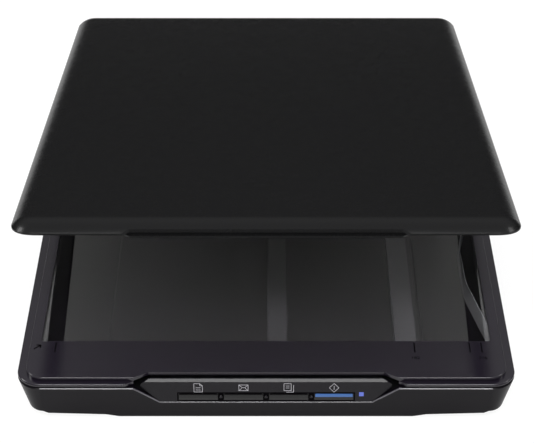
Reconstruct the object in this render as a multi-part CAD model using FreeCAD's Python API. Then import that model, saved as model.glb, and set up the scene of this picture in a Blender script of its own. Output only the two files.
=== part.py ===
import FreeCAD, Part
import math
import os

from FreeCAD import Placement, Rotation, Vector

# A slim A4 flatbed scanner. Millimetres, +X right, +Y to the rear, +Z up.
# The origin is the middle of its footprint on the desk.

# Housing
WIDTH = 249.0
DEPTH = 364.0
CORNER = 12.0            # plan radius of the housing
BELLY = 3.6              # underside of the tray beside the keel
SPLIT = 24.0             # top edge of the lower case
TAPER = 5.0              # how far the sides lean in from SPLIT to BELLY
BELLY_ROUND = 3.5
EDGE_CHAMFER = 0.5
WALL = 2.2
FLOOR = 2.0
KEEL_HALF = 73.0         # flat half width of the lowest strip of the underside
KEEL_SLOPE = 8.0
KEEL_SHOULDER = 29.0     # gentle slope from the keel out to the corners
KEEL_Z = 0.4
KEEL_ROUND = 0.8
SHOULDER_Z = 2.4
TROUGH_HALF = 83.0       # the floor inside is lower over the keel
TROUGH_Z = 4.5
FOOT_INSET = (24.5, 32.0)
FOOT_RADIUS = 6.0

# Upper frame
PARTING_GAP = 0.9
RIM_TOP = 26.5
PLATEAU_TOP = 28.8
RIM_SIDE = 4.5           # rim beside the raised bezel
RIM_FRONT = 2.7          # rim before and behind it
PLATEAU_CORNER = 9.0
BEZEL_SKIN = 1.9
TONGUE = 3.9             # depth of the tongue that locates the frame in the case
TONGUE_THICK = 1.6
FIT = 0.2                # side clearance of fixed pieces

# Glass
BEZEL_SIDE = 10.0        # from the housing's widest to the glass opening
BEZEL_FRONT = 31.3
BEZEL_REAR = 29.5
LIP = 0.9                # bezel skin above the glass
GLASS_THICK = 2.85
TAPE = 0.15
GLASS_SIDE_COVER = 3.5   # glass hidden under the bezel at the sides and rear
GLASS_FRONT_COVER = 15.3

# Button recess in the front
NOTCH_FOOT = 53.2        # half widths of the recess at its foot, shoulder and bezel
NOTCH_SHOULDER = 66.0
NOTCH_BEZEL = 58.8
NOTCH_Z = 12.9
NOTCH_BACK = 7.0         # how far the bezel edge steps back
PANEL_FOOT = (2.5, 13.6)    # behind the housing's front, and height
PANEL_TOP = (3.9, 26.3)
PANEL_THICK = 2.0
BUTTON_PITCH = 22.6
BUTTON_SIZE = (19.6, 3.7)
BUTTON_UP = 2.75         # middle of the buttons above the panel's foot
BUTTON_SLOT_GAP = 0.15
BUTTON_PROUD = 0.3
BUTTON_TRAVEL = 0.5
BUTTON_FLANGE = 0.6
BOARD_BACK = 5.0         # front face of the button board behind the panel's face
LIGHT_X = 47.6
LIGHT_UP = 1.5
LIGHT_SIZE = 2.3

# Lid, drawn closed, then turned to its rest angle
LID_SIDE = 0.65          # set in from the housing's sides, front and rear
LID_SETBACK = 15.0
LID_REAR_SET = 3.9
LID_CORNER = 11.0
LID_TOP = 39.0
LID_CLEAR = 0.8          # flat underside above the bezel
LID_WIDEST = 33.6
LID_EDGE = 34.4
LID_UNDERCUT = 8.5
LID_CROWN = 4.0          # run of the crown's outer slope
LID_CROWN_ROUND = 12.2
LID_SKIN = 1.8
LID_REST = 11.34         # degrees open at rest
LIP_HALF = 70.0          # finger lip in the middle of the lid's front edge
LIP_STEP = 1.6
LIP_SLANT = 4.0
PANEL_SKIN = 1.2
MAT_GAP = 0.2
MAT_THICK = 0.8
MAT_MARGIN = 1.0
LID_SCREW_INSET = (18.85, 17.0, 41.1)
HEAD_SINK = 0.8

# Hinges
HINGE_INSET = 2.4        # axis before the housing's rear
HINGE_RISE = 1.8         # axis above the bezel
KNUCKLE = 2.3
PIN = 1.2
RUNNING = 0.05           # radial clearance on pins and axles
POST_INSET = 36.5
POST_WIDE = 16.0
POST_THICK = 5.0
POST_BEHIND = 4.6        # axis behind the post's rear face
POST_FOOT = 8.0
EAR = 3.6
SIDE_PLAY = 0.4
HINGE_POCKET = 13.0      # half width of the pocket around a hinge
BRACKET_LONG = 22.0

# Carriage and its drive
CARRIAGE_INSET = 4.0     # shorter than the glass opening at each end
CARRIAGE_HOME = 10.5     # its front face behind the housing's front
CARRIAGE_DEPTH = 22.0
CARRIAGE_FLOOR = 13.4
CARRIAGE_WALL = 1.5
CARRIAGE_WALL_TOP = 21.5
MODULE = 0.6
ADDENDUM = 0.36
DEDENDUM = 0.78
BACKLASH = 0.14
PRESSURE = math.radians(20.0)
RACK_TEETH_ON = 14
WHEEL_TEETH = 44
MOTOR_TEETH = 10
RACK_X = (0.6, 10.9)
RACK_TOP = 10.0
SLIDE_X = (68.0, 79.0)
SLIDE_TOP = 9.6
RIB_X = (-20.8, -15.5)
RIB_TOP = 5.6
RAIL_INSET = (11.0, 25.0)
WHEEL_Z = (11.6, 13.0)
PINION_FOOT = 6.4
AXLE = 1.0
SHAFT = 0.75
MOTOR_RADIUS = 10.0
MOTOR_Z = (6.2, 11.0)
SPRING_THICK = 0.25

# Electronics, ribbon and screws
BOARD_X = (-62.0, 58.0)
BOARD_INSET = (23.0, 6.8)
BOARD_Z = 8.0
BOARD_THICK = 1.6
SOCKET_X = -40.0
RIBBON_Z = (10.0, 21.5)
RIBBON_THICK = 0.3
RIBBON_INSET = 6.3
SCREW = 1.3
SCREW_HEAD = 2.5

# Places that follow from the sizes above
FRONT = -DEPTH / 2
REAR = DEPTH / 2
INSIDE_Z = BELLY + FLOOR
BOSS_FOOT = INSIDE_Z + 1.6
FRAME_Z = SPLIT + PARTING_GAP
GLASS_TOP = PLATEAU_TOP - LIP - TAPE
GLASS_Z = GLASS_TOP - GLASS_THICK
OPENING_HALF = WIDTH / 2 - BEZEL_SIDE
OPENING_FRONT = FRONT + BEZEL_FRONT
OPENING_REAR = REAR - BEZEL_REAR
PANEL_LEAN = math.degrees(math.atan2(PANEL_TOP[0] - PANEL_FOOT[0], PANEL_TOP[1] - PANEL_FOOT[1]))
PANEL_HEIGHT = math.dist(PANEL_FOOT, PANEL_TOP)
BUTTON_X = [BUTTON_PITCH * (i - 1.5) for i in range(4)]
HINGE_Y = REAR - HINGE_INSET
HINGE_Z = PLATEAU_TOP + HINGE_RISE
POST_X = WIDTH / 2 - POST_INSET
POST_BACK = HINGE_Y - POST_BEHIND
POST_FRONT = POST_BACK - POST_THICK
LID_HALF = WIDTH / 2 - LID_SIDE
LID_FRONT = FRONT + LID_SETBACK
LID_REAR = REAR - LID_REAR_SET
LID_BOTTOM = PLATEAU_TOP + LID_CLEAR
PANEL_Z = LID_BOTTOM + LID_SKIN
MAT_Z = GLASS_TOP + TAPE + MAT_GAP
CARRIAGE_HALF = OPENING_HALF - CARRIAGE_INSET
CARRIAGE_FRONT = FRONT + CARRIAGE_HOME
CARRIAGE_REAR = CARRIAGE_FRONT + CARRIAGE_DEPTH
GEAR_Y = CARRIAGE_FRONT + 9.5
GEAR_X = RACK_X[0] + ADDENDUM - MODULE * RACK_TEETH_ON / 2
MOTOR_X = GEAR_X - MODULE * (WHEEL_TEETH + MOTOR_TEETH) / 2
MOTOR_EARS = [(MOTOR_X - 11.0, GEAR_Y + side * 7.0) for side in (-1, 1)]
SENSOR_LINE = CARRIAGE_REAR - 6.0
SENSOR_HALF = CARRIAGE_HALF - CARRIAGE_WALL - 0.5
SENSOR_INNER = SENSOR_HALF - 4.5
SENSOR_Y = (CARRIAGE_FRONT + 2.0, CARRIAGE_REAR - 2.0)
SENSOR_Z = (CARRIAGE_FLOOR + CARRIAGE_WALL + 0.9, GLASS_Z - 0.6)
SENSOR_GLASS_Z = SENSOR_Z[1] - 0.8
LENS_Y = (SENSOR_LINE - 1.0, SENSOR_LINE + 1.0)
GUIDE_Y = (SENSOR_LINE - 7.0, SENSOR_LINE - 3.0)
GUIDE_Z = SENSOR_GLASS_Z - 4.0
RAIL_ENDS = (FRONT + RAIL_INSET[0], REAR - RAIL_INSET[1])
BOARD_Y = (REAR - BOARD_INSET[0], REAR - BOARD_INSET[1])
BOARD_TOP = BOARD_Z + BOARD_THICK
BOARD_SCREWS = [(x, BOARD_Y[1] - 3.7) for x in (BOARD_X[0] + 5, BOARD_X[1] - 5)]
RIBBON_WALL_X = WIDTH / 2 - RIBBON_INSET
RIBBON_END_X = RIBBON_WALL_X - 1.45
RIBBON_BACK_Y = POST_FRONT - 5.0
CASE_SCREWS = ((WIDTH / 2 - 10.9, FRONT + 13.0, 2.4), (WIDTH / 2 - 18.5, REAR - 11.5, 3.0))
LID_SCREWS = ((LID_HALF - LID_SCREW_INSET[0], LID_FRONT + LID_SCREW_INSET[1]),
              (LID_HALF - LID_SCREW_INSET[0], LID_REAR - LID_SCREW_INSET[2]))
LEAN_IN = TAPER / (SPLIT - BELLY)


def spot(plane, u, v, w):
    """Point at (u, v) of a drawing plane, w along the plane's normal."""
    if plane == "xy":
        return Vector(u, v, w)
    if plane == "xz":
        return Vector(u, w, v)
    return Vector(w, u, v)


def corner_cut(before, here, after, radius):
    """Start, middle and end of the arc that rounds one corner of an outline."""
    back = (before - here).normalize()
    ahead = (after - here).normalize()
    half = back.getAngle(ahead) / 2
    reach = radius / math.tan(half)
    centre = here + (back + ahead).normalize() * (radius / math.sin(half))
    middle = centre + (here - centre).normalize() * radius
    return here + back * reach, middle, here + ahead * reach


def outline(corners, plane="xy", w=0.0, closed=True):
    """Wire through (u, v) corners; a third number rounds that corner."""
    flat = [Vector(c[0], c[1], 0) for c in corners]
    cuts = []
    for i, corner in enumerate(corners):
        end_point = not closed and i in (0, len(corners) - 1)
        if len(corner) < 3 or end_point:
            cuts.append((flat[i], None, flat[i]))
        else:
            cuts.append(corner_cut(flat[i - 1], flat[i], flat[(i + 1) % len(flat)], corner[2]))
    following = cuts[1:] + (cuts[:1] if closed else [])
    edges = []
    for i, (start, middle, end) in enumerate(cuts):
        if middle is not None:
            arc = [spot(plane, p.x, p.y, w) for p in (start, middle, end)]
            edges.append(Part.Arc(*arc).toShape())
        if i < len(following) and (following[i][0] - end).Length > 1e-6:
            line = [spot(plane, p.x, p.y, w) for p in (end, following[i][0])]
            edges.append(Part.LineSegment(*line).toShape())
    return Part.Wire(edges)


def prism(corners, plane, low, high):
    """Outline extruded along its plane's normal from low to high."""
    direction = spot(plane, 0, 0, high - low)
    return Part.Face(outline(corners, plane, low)).extrude(direction)


def block(x, y, z):
    """Box between pairs of limits."""
    return Part.makeBox(x[1] - x[0], y[1] - y[0], z[1] - z[0], Vector(x[0], y[0], z[0]))


def rod(x, y, z, radius):
    """Upright cylinder between the two heights in z."""
    return Part.makeCylinder(radius, z[1] - z[0], Vector(x, y, z[0]))


def cross_rod(x, y, z, radius):
    """Cylinder along X between the two limits in x."""
    return Part.makeCylinder(radius, x[1] - x[0], Vector(x[0], y, z), Vector(1, 0, 0))


def joined(first, *others):
    """One solid from overlapping or touching ones."""
    return first.multiFuse(list(others)).removeSplitter()


def slab(x_half, y_ends, corner, section):
    """Rounded rectangle in plan whose edge follows a section (outward, up)."""
    cx = x_half - corner
    front = y_ends[0] + corner
    rear = y_ends[1] - corner
    heights = [c[1] for c in section if c[0] == 0]
    sides = [block((-cx, cx), (front, rear), (min(heights), max(heights)))]
    for sign in (-1, 1):
        side = [(sign * (cx + c[0]), *c[1:]) for c in section]
        sides.append(prism(side, "xz", front, rear))
        end = front if sign < 0 else rear
        across = [(end + sign * c[0], *c[1:]) for c in section]
        sides.append(prism(across, "yz", -cx, cx))
    face = Part.Face(outline(section, "xz"))
    places = ((cx, rear), (-cx, rear), (-cx, front), (cx, front))
    for turn, (x, y) in enumerate(places):
        quarter = face.revolve(Vector(), Vector(0, 0, 1), 90)
        quarter.rotate(Vector(), Vector(0, 0, 1), 90 * turn)
        quarter.translate(Vector(x, y, 0))
        sides.append(quarter)
    return joined(*sides)


def mirrored(solid):
    """The same solid on the other side of the middle plane."""
    return solid.mirror(Vector(), Vector(1, 0, 0))


def both(solid):
    """A solid and its mirror image, as one group."""
    return Part.makeCompound([solid, mirrored(solid)])


def on_panel(shape):
    """Shape drawn flat on the button panel (x, up the slope, outward), put in its place."""
    turn = Rotation(Vector(1, 0, 0), 90 - PANEL_LEAN)
    placed = shape.copy()
    placed.Placement = Placement(Vector(0, FRONT + PANEL_FOOT[0], PANEL_FOOT[1]), turn).multiply(placed.Placement)
    return placed


def at_rest(shape):
    """Closed lid piece turned open to its rest angle."""
    turned = shape.copy()
    turned.rotate(Vector(0, HINGE_Y, HINGE_Z), Vector(1, 0, 0), -LID_REST)
    return turned


def lean(z):
    """How far the case's side stands in from its widest, at a height."""
    return LEAN_IN * (SPLIT - z)


def notch_front(low, back):
    """Cutter for the recess in the case's front wall."""
    rise = SPLIT - NOTCH_Z
    spread = (NOTCH_SHOULDER - NOTCH_FOOT) / rise
    top = 1.0
    corners = [(-NOTCH_FOOT, low, 1.0), (NOTCH_FOOT, low, 1.0),
               (NOTCH_FOOT + spread * (rise + top), low + rise + top),
               (-NOTCH_FOOT - spread * (rise + top), low + rise + top)]
    return prism(corners, "xz", FRONT - 1, back)


def keel():
    """Lower middle of the underside, with gentle slopes out to the sides."""
    high = BELLY + 4.0
    deep = slab(WIDTH / 2, (FRONT, REAR), CORNER,
                [(0, KEEL_Z), (CORNER - lean(KEEL_Z), KEEL_Z, KEEL_ROUND), (CORNER - lean(high), high), (0, high)])
    shoulder = KEEL_HALF + KEEL_SLOPE
    flank = shoulder + KEEL_SHOULDER
    steps = [(KEEL_HALF, KEEL_Z - 1), (KEEL_HALF, KEEL_Z), (shoulder, SHOULDER_Z), (flank, BELLY),
             (flank + 8, high + 1)]
    corners = [(-x, z) for x, z in reversed(steps)] + steps
    return deep.common(prism(corners, "xz", FRONT - 1, REAR + 1))


def post_sleeve():
    """Guide for one hinge post, standing on the case's floor."""
    half = POST_WIDE / 2
    wall = 1.8
    outer = block((POST_X - half - wall, POST_X + half + wall), (POST_FRONT - wall, POST_BACK + wall),
                  (INSIDE_Z, POST_FOOT + 12))
    hole = block((POST_X - half - FIT, POST_X + half + FIT), (POST_FRONT - FIT, POST_BACK + FIT),
                 (POST_FOOT, POST_FOOT + 13))
    return outer.cut(hole)


def foot_places():
    """Middles of the four feet."""
    x = WIDTH / 2 - FOOT_INSET[0]
    y = REAR - FOOT_INSET[1]
    return [(sx * x, sy * y) for sx in (-1, 1) for sy in (-1, 1)]


def lower_case():
    top = [(CORNER, SPLIT - EDGE_CHAMFER), (CORNER - EDGE_CHAMFER, SPLIT), (0, SPLIT)]
    outer = slab(WIDTH / 2, (FRONT, REAR), CORNER,
                 [(0, BELLY), (CORNER - TAPER, BELLY, BELLY_ROUND)] + top)
    floor_edge = CORNER - lean(INSIDE_Z) - WALL
    inner = slab(WIDTH / 2, (FRONT, REAR), CORNER,
                 [(0, INSIDE_Z), (floor_edge, INSIDE_Z, BELLY_ROUND - FLOOR),
                  (CORNER - WALL, SPLIT), (CORNER - WALL, SPLIT + 1), (0, SPLIT + 1)])
    trough = block((-TROUGH_HALF, TROUGH_HALF), (FRONT + TAPER + WALL + 2, REAR - TAPER - WALL - 2),
                   (TROUGH_Z, INSIDE_Z + 1))
    tray = joined(outer, keel()).cut([inner, trough])
    tray = tray.cut(notch_front(NOTCH_Z, FRONT + 9))
    rib = block(RIB_X, RAIL_ENDS, (TROUGH_Z - 0.5, RIB_TOP))
    posts = [rod(x, y, (TROUGH_Z - 0.5, BOARD_Z), 3.0) for x, y in BOARD_SCREWS]
    clip_low = RIBBON_WALL_X - RIBBON_THICK / 2 - FIT
    clips = [block((clip_low - 1.2, clip_low), (y - 4, y + 4), (INSIDE_Z - 0.5, RIBBON_Z[0] + 5))
             for y in (25, 120)]
    tray = joined(tray, rib, post_sleeve(), mirrored(post_sleeve()), *posts, *clips)
    cuts = []
    for x, y, _ in CASE_SCREWS:
        cuts.append(rod(x, y, (0, BELLY + 0.8), SCREW_HEAD + FIT))
        cuts.append(rod(x, y, (0, INSIDE_Z + 1), SCREW + FIT))
    cuts += [mirrored(cut) for cut in cuts]
    cuts += [rod(x, y, (TROUGH_Z + 0.5, BOARD_Z + 1), SCREW) for x, y in BOARD_SCREWS]
    cuts += [rod(x, y, (0, BELLY + 0.2), FOOT_RADIUS) for x, y in foot_places()]
    mouth = block((SOCKET_X - 6, SOCKET_X + 6), (REAR - 8, REAR + 1), (BOARD_TOP - 0.6, BOARD_TOP + 6))
    vents = [block((x, x + 1.6), (REAR - 10, REAR + 1), (12, 20)) for x in range(0, 46, 5)]
    return tray.cut(cuts + [mouth] + vents)


def hinge_pocket():
    """Recess in the frame's rear edge that leaves one hinge free, with its post's slot."""
    half = POST_WIDE / 2
    pocket = block((POST_X - HINGE_POCKET, POST_X + HINGE_POCKET), (POST_FRONT - 3, REAR + 1),
                   (RIM_TOP - 0.3, PLATEAU_TOP + 1))
    slot = block((POST_X - half - FIT, POST_X + half + FIT), (POST_FRONT - FIT, POST_BACK + FIT),
                 (FRAME_Z - TONGUE - 1, PLATEAU_TOP))
    return pocket.fuse(slot)


def upper_frame():
    rim = slab(WIDTH / 2, (FRONT, REAR), CORNER,
               [(0, FRAME_Z), (CORNER, FRAME_Z, 0.4), (CORNER, RIM_TOP, 0.9), (0, RIM_TOP)])
    bezel_depth = REAR - RIM_FRONT
    bezel = slab(WIDTH / 2 - RIM_SIDE, (-bezel_depth, bezel_depth), PLATEAU_CORNER,
                 [(0, FRAME_Z), (PLATEAU_CORNER, FRAME_Z), (PLATEAU_CORNER, PLATEAU_TOP, 0.7),
                  (0, PLATEAU_TOP)])
    tongue_out = CORNER - WALL - FIT - lean(FRAME_Z - TONGUE)
    tongue_in = tongue_out - TONGUE_THICK
    tongue = slab(WIDTH / 2, (FRONT, REAR), CORNER,
                  [(0, FRAME_Z - TONGUE), (tongue_out, FRAME_Z - TONGUE), (tongue_out, FRAME_Z + 0.5),
                   (0, FRAME_Z + 0.5)])
    hollow = slab(WIDTH / 2, (FRONT, REAR), CORNER,
                  [(0, FRAME_Z - TONGUE - 1), (tongue_in, FRAME_Z - TONGUE - 1), (tongue_in, FRAME_Z),
                   (0, FRAME_Z)])
    frame = joined(rim, bezel, tongue).cut(hollow)
    under_bezel = block((-OPENING_HALF - 4.2, OPENING_HALF + 4.2), (FRONT + 7, POST_FRONT - 5),
                        (FRAME_Z - 1, PLATEAU_TOP - BEZEL_SKIN))
    glass_seat = block((-OPENING_HALF - GLASS_SIDE_COVER - FIT, OPENING_HALF + GLASS_SIDE_COVER + FIT),
                       (OPENING_FRONT - GLASS_FRONT_COVER - FIT, OPENING_REAR + GLASS_SIDE_COVER + FIT),
                       (FRAME_Z - 1, PLATEAU_TOP - LIP))
    opening = prism([(-OPENING_HALF, OPENING_FRONT, 1.5), (OPENING_HALF, OPENING_FRONT, 1.5),
                     (OPENING_HALF, OPENING_REAR, 1.5), (-OPENING_HALF, OPENING_REAR, 1.5)],
                    "xy", FRAME_Z - 1, PLATEAU_TOP + 1)
    step = FRONT + NOTCH_BACK
    slope = (NOTCH_SHOULDER - NOTCH_BEZEL) / (NOTCH_BACK - RIM_FRONT)
    flare = NOTCH_BEZEL + slope * NOTCH_BACK
    notch = prism([(-flare, FRONT), (flare, FRONT), (NOTCH_BEZEL, step, 1.0), (-NOTCH_BEZEL, step, 1.0)],
                  "xy", FRAME_Z - TONGUE - 1, PLATEAU_TOP + 1)
    board_room = block((-NOTCH_SHOULDER, NOTCH_SHOULDER), (FRONT, CARRIAGE_FRONT + 1),
                       (FRAME_Z - TONGUE - 1, PLATEAU_TOP - BEZEL_SKIN))
    frame = frame.cut([under_bezel, glass_seat, opening, notch, board_room, hinge_pocket(),
                       mirrored(hinge_pocket())])
    bosses = []
    holes = []
    for x, y, radius in CASE_SCREWS:
        bosses.append(rod(x, y, (BOSS_FOOT, PLATEAU_TOP - BEZEL_SKIN + 0.3), radius))
        holes.append(rod(x, y, (BOSS_FOOT - 1, BOSS_FOOT + 8), SCREW))
    bosses += [mirrored(boss) for boss in bosses]
    holes += [mirrored(hole) for hole in holes]
    return joined(frame, *bosses).cut(holes)


def document_glass():
    x = OPENING_HALF + GLASS_SIDE_COVER
    return block((-x, x), (OPENING_FRONT - GLASS_FRONT_COVER, OPENING_REAR + GLASS_SIDE_COVER),
                 (GLASS_Z, GLASS_TOP))


def glass_tape():
    x = OPENING_HALF + GLASS_SIDE_COVER
    z = (GLASS_TOP, GLASS_TOP + TAPE)
    front = OPENING_FRONT - GLASS_FRONT_COVER
    ring = block((-x, x), (front, OPENING_REAR + GLASS_SIDE_COVER), z)
    hole = block((-OPENING_HALF - 0.6, OPENING_HALF + 0.6), (front + 2, OPENING_REAR + 0.6), z)
    return ring.cut(hole)


def calibration_strip():
    x = OPENING_HALF - 6.5
    return block((-x, x), (SENSOR_LINE - 5, OPENING_FRONT - 1), (GLASS_TOP, GLASS_TOP + TAPE))


def panel_half(up):
    """Half width of the button panel at a height up its slope, clear of the recess."""
    tilt = math.radians(PANEL_LEAN)
    z = PANEL_FOOT[1] + up * math.cos(tilt) - PANEL_THICK * math.sin(tilt)
    spread = (NOTCH_SHOULDER - NOTCH_FOOT) / (SPLIT - NOTCH_Z)
    return NOTCH_FOOT + spread * (z - NOTCH_Z) - 0.7


def key_outline(grow=0.0):
    """Corners of one button's face about its own middle."""
    w = BUTTON_SIZE[0] / 2 + grow
    h = BUTTON_SIZE[1] / 2 + grow
    r = 1.0 + grow
    return [(-w, -h, r), (w, -h, r), (w, h, r), (-w, h, r)]


def moved(corners, x, y):
    """Outline corners shifted in their plane."""
    return [(c[0] + x, c[1] + y, *c[2:]) for c in corners]


def button_panel():
    """Sloping panel with the buttons' slots, the light's window and two bosses."""
    knee = PANEL_HEIGHT - 3.0
    side = panel_half(knee)
    top = min(panel_half(PANEL_HEIGHT), NOTCH_BEZEL - 0.4)
    face = [(-panel_half(0), 0, 0.6), (panel_half(0), 0, 0.6), (side, knee, 2.0), (top, PANEL_HEIGHT),
            (-top, PANEL_HEIGHT), (-side, knee, 2.0)]
    panel = prism(face, "xy", -PANEL_THICK, 0)
    crown = 1.2
    edge = [(PANEL_HEIGHT - crown, 0), (PANEL_HEIGHT, 0), (PANEL_HEIGHT, -crown)]
    panel = panel.cut(prism(edge, "yz", -WIDTH / 2, WIDTH / 2))
    bosses = [rod(x, PANEL_HEIGHT - 3.4, (-BOARD_BACK, -PANEL_THICK), 1.7) for x in (-56, 56)]
    panel = joined(panel, *bosses)
    cuts = [prism(moved(key_outline(BUTTON_SLOT_GAP), x, BUTTON_UP), "xy", -3, 1) for x in BUTTON_X]
    cuts.append(light_window(FIT / 4))
    return on_panel(panel.cut(cuts))


def light_window(grow=0.0):
    """Square light pipe at the end of the row of buttons."""
    h = LIGHT_SIZE / 2 + grow
    return block((LIGHT_X - h, LIGHT_X + h), (BUTTON_UP + LIGHT_UP - h, BUTTON_UP + LIGHT_UP + h), (-3.4, 0.1))


def status_light():
    return on_panel(light_window())


def button(x):
    """Key with a flange behind the panel and a stem towards its switch."""
    w, h = BUTTON_SIZE
    key = prism(moved(key_outline(), x, BUTTON_UP), "xy", -PANEL_THICK, BUTTON_PROUD)
    flange = prism(moved(key_outline(BUTTON_FLANGE), x, BUTTON_UP), "xy", -PANEL_THICK - 0.6, -PANEL_THICK - 0.1)
    stem = block((x - 1, x + 1), (BUTTON_UP - 0.8, BUTTON_UP + 0.8), (-PANEL_THICK - 0.6, -PANEL_THICK))
    solid = joined(key, flange, stem)
    dish = prism([(BUTTON_UP + 0.2, BUTTON_PROUD), (BUTTON_UP + h, BUTTON_PROUD + 0.1), (BUTTON_UP + h, -0.35)],
                 "yz", x - w, x + w)
    return on_panel(solid.cut(dish))


def start_stripe():
    """Blue stripe let into the start button's upper face."""
    x = BUTTON_X[3]
    half = BUTTON_SIZE[0] / 2 - 1.2
    low = BUTTON_UP + 0.5
    corners = [(low, 0.14), (low + 1.1, -0.20), (low + 1.1, -0.12), (low, 0.22)]
    return on_panel(prism(corners, "yz", x - half, x + half))


def button_board():
    board = block((-58, 58), (0.4, PANEL_HEIGHT - 1.4), (-BOARD_BACK - 1.2, -BOARD_BACK))
    return on_panel(board)


def tact_switches():
    """Four push switches under the buttons."""
    switches = []
    for x in BUTTON_X:
        base = block((x - 2.6, x + 2.6), (BUTTON_UP - 1.7, BUTTON_UP + 1.7), (-BOARD_BACK, -BOARD_BACK + 1.2))
        cap = rod(x, BUTTON_UP, (-BOARD_BACK + 1.1, -PANEL_THICK - 0.7 - BUTTON_TRAVEL), 0.9)
        switches.append(joined(base, cap))
    return on_panel(Part.makeCompound(switches))


def involute(radius, base):
    """Involute function of the pressure angle at a radius."""
    angle = math.acos(min(1.0, base / radius))
    return math.tan(angle) - angle


def gear(teeth, z, bore, phase=0.0):
    """Spur gear about the Z axis, with a tooth centred on the phase angle."""
    pitch = MODULE * teeth / 2
    base = pitch * math.cos(PRESSURE)
    root = pitch - DEDENDUM
    tip = pitch + ADDENDUM
    half_at_pitch = math.pi / (2 * teeth) - BACKLASH / (2 * pitch)
    radii = [root] + [max(root, base) + (tip - max(root, base)) * k / 3 for k in range(4)]
    corners = []
    for tooth in range(teeth):
        centre = phase + 2 * math.pi * tooth / teeth
        flank = []
        for radius in radii:
            half = half_at_pitch + involute(pitch, base) - involute(radius, base)
            flank.append((radius, half))
        turns = [(r, centre - h) for r, h in flank] + [(r, centre + h) for r, h in reversed(flank)]
        corners += [(r * math.cos(a), r * math.sin(a)) for r, a in turns]
    points = [corners[0]]
    for corner in corners[1:]:
        if math.dist(corner, points[-1]) > 1e-4:
            points.append(corner)
    return prism(points, "xy", z[0], z[1]).cut(rod(0, 0, (z[0] - 1, z[1] + 1), bore))


def rack_rail():
    """Centre rail whose left side carries the rack."""
    pitch = math.pi * MODULE
    line = RACK_X[0] + ADDENDUM
    slope = math.tan(PRESSURE)
    tip_half = pitch / 4 - BACKLASH / 2 - ADDENDUM * slope
    root_half = pitch / 4 - BACKLASH / 2 + DEDENDUM * slope
    first = math.ceil((RAIL_ENDS[0] + pitch - GEAR_Y) / pitch)
    last = math.floor((RAIL_ENDS[1] - pitch - GEAR_Y) / pitch)
    corners = [(RACK_X[1], RAIL_ENDS[1]), (RACK_X[1], RAIL_ENDS[0]), (line + DEDENDUM, RAIL_ENDS[0])]
    for tooth in range(first, last):
        y = GEAR_Y + (tooth + 0.5) * pitch
        corners += [(line + DEDENDUM, y - root_half), (line - ADDENDUM, y - tip_half),
                    (line - ADDENDUM, y + tip_half), (line + DEDENDUM, y + root_half)]
    corners.append((line + DEDENDUM, RAIL_ENDS[1]))
    return prism(corners, "xy", TROUGH_Z, RACK_TOP)


def slide_rail():
    return block(SLIDE_X, RAIL_ENDS, (TROUGH_Z, SLIDE_TOP))


def reduction_gear():
    wheel = gear(WHEEL_TEETH, WHEEL_Z, AXLE + RUNNING)
    pinion = gear(RACK_TEETH_ON, (PINION_FOOT, WHEEL_Z[0]), AXLE + RUNNING)
    solid = joined(wheel, pinion)
    solid.translate(Vector(GEAR_X, GEAR_Y, 0))
    return solid


def motor_pinion():
    solid = gear(MOTOR_TEETH, WHEEL_Z, SHAFT, math.pi / MOTOR_TEETH)
    solid.translate(Vector(MOTOR_X, GEAR_Y, 0))
    return solid


def motor_shaft():
    return rod(MOTOR_X, GEAR_Y, (MOTOR_Z[0] + 0.4, WHEEL_Z[1]), SHAFT)


def drive_motor():
    """Flat stepper motor hung under the carriage by two ears."""
    body = rod(MOTOR_X, GEAR_Y, MOTOR_Z, MOTOR_RADIUS)
    ears = []
    for x, y in MOTOR_EARS:
        ears.append(rod(x, y, (MOTOR_Z[1] - 1, MOTOR_Z[1]), 2.3))
    web = block((MOTOR_X - 11.0, MOTOR_X), (GEAR_Y - 9.3, GEAR_Y + 9.3), (MOTOR_Z[1] - 1, MOTOR_Z[1]))
    solid = joined(body, web, *ears)
    holes = [rod(x, y, (MOTOR_Z[0], MOTOR_Z[1] + 1), 0.8) for x, y in MOTOR_EARS]
    holes.append(rod(MOTOR_X, GEAR_Y, (MOTOR_Z[0] + 0.4, MOTOR_Z[1] + 1), SHAFT + RUNNING))
    return solid.cut(holes)


def motor_screws():
    screws = []
    for x, y in MOTOR_EARS:
        head = rod(x, y, (MOTOR_Z[1] - 2, MOTOR_Z[1] - 1), 1.5)
        screws.append(joined(head, rod(x, y, (MOTOR_Z[1] - 1.5, CARRIAGE_FLOOR + 0.8), 0.8)))
    return Part.makeCompound(screws)


def gear_axle():
    """Axle of the reduction gear, with its head below."""
    top = CARRIAGE_FLOOR + CARRIAGE_WALL
    head = rod(GEAR_X, GEAR_Y, (PINION_FOOT - 1.0, PINION_FOOT - 0.2), 1.9)
    return joined(head, rod(GEAR_X, GEAR_Y, (PINION_FOOT - 0.5, top), AXLE))


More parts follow.
